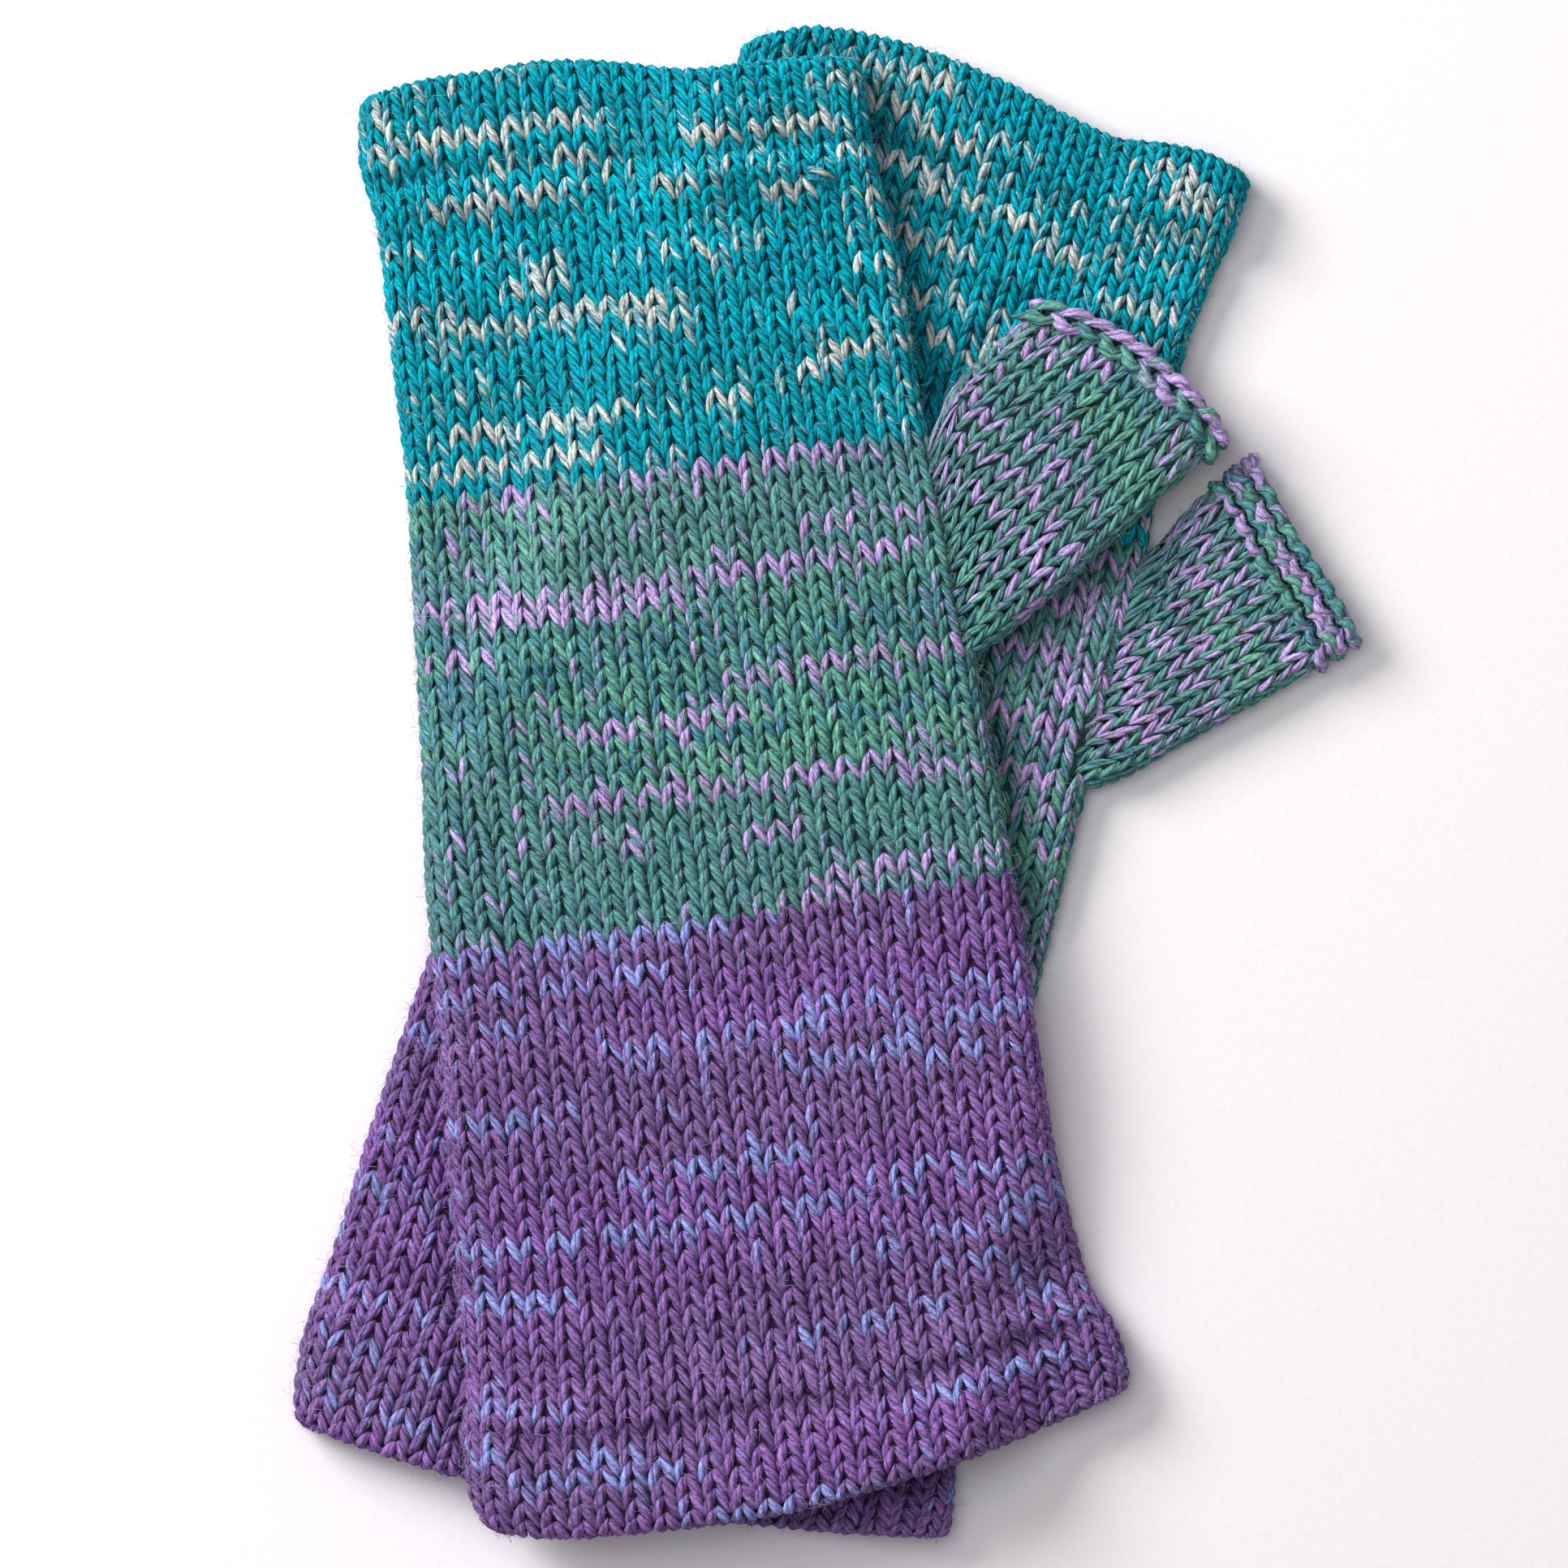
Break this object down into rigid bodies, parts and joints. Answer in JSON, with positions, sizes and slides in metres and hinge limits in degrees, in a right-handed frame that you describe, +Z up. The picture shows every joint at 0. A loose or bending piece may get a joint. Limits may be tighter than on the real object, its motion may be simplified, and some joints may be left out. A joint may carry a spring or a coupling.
{
  "type": "fingerless mittens",
  "caption": "Long fingerless mittens knitted in wool, with open thumbs and wide stripes of teal, green and purple, laid flat and crossed on each other.",
  "frame": {"origin": "Centre of the base of the bounding box, on the surface that the mittens lie on.", "axes": "+X to the right and +Y from the cuffs towards the fingers, as in the picture from above; +Z up from the surface."},
  "size_m": [0.1826, 0.261, 0.0203],
  "materials": {
    "wool_teal": "teal wool with white flecks",
    "wool_green": "blue-green wool with lilac flecks",
    "wool_purple": "purple wool with blue-violet flecks",
    "wool_lilac": "lilac and green wool at the thumbs' edges"
  },
  "bodies": {
    "root": {"lower_purple_cuff": "wool_purple", "lower_green_palm": "wool_green", "lower_teal_top": "wool_teal", "lower_thumb": "wool_green", "lower_thumb_roll": "wool_lilac", "upper_purple_cuff": "wool_purple", "upper_green_palm": "wool_green", "upper_teal_top": "wool_teal", "upper_thumb": "wool_green", "upper_thumb_roll": "wool_lilac"}
  },
  "joints": []
}
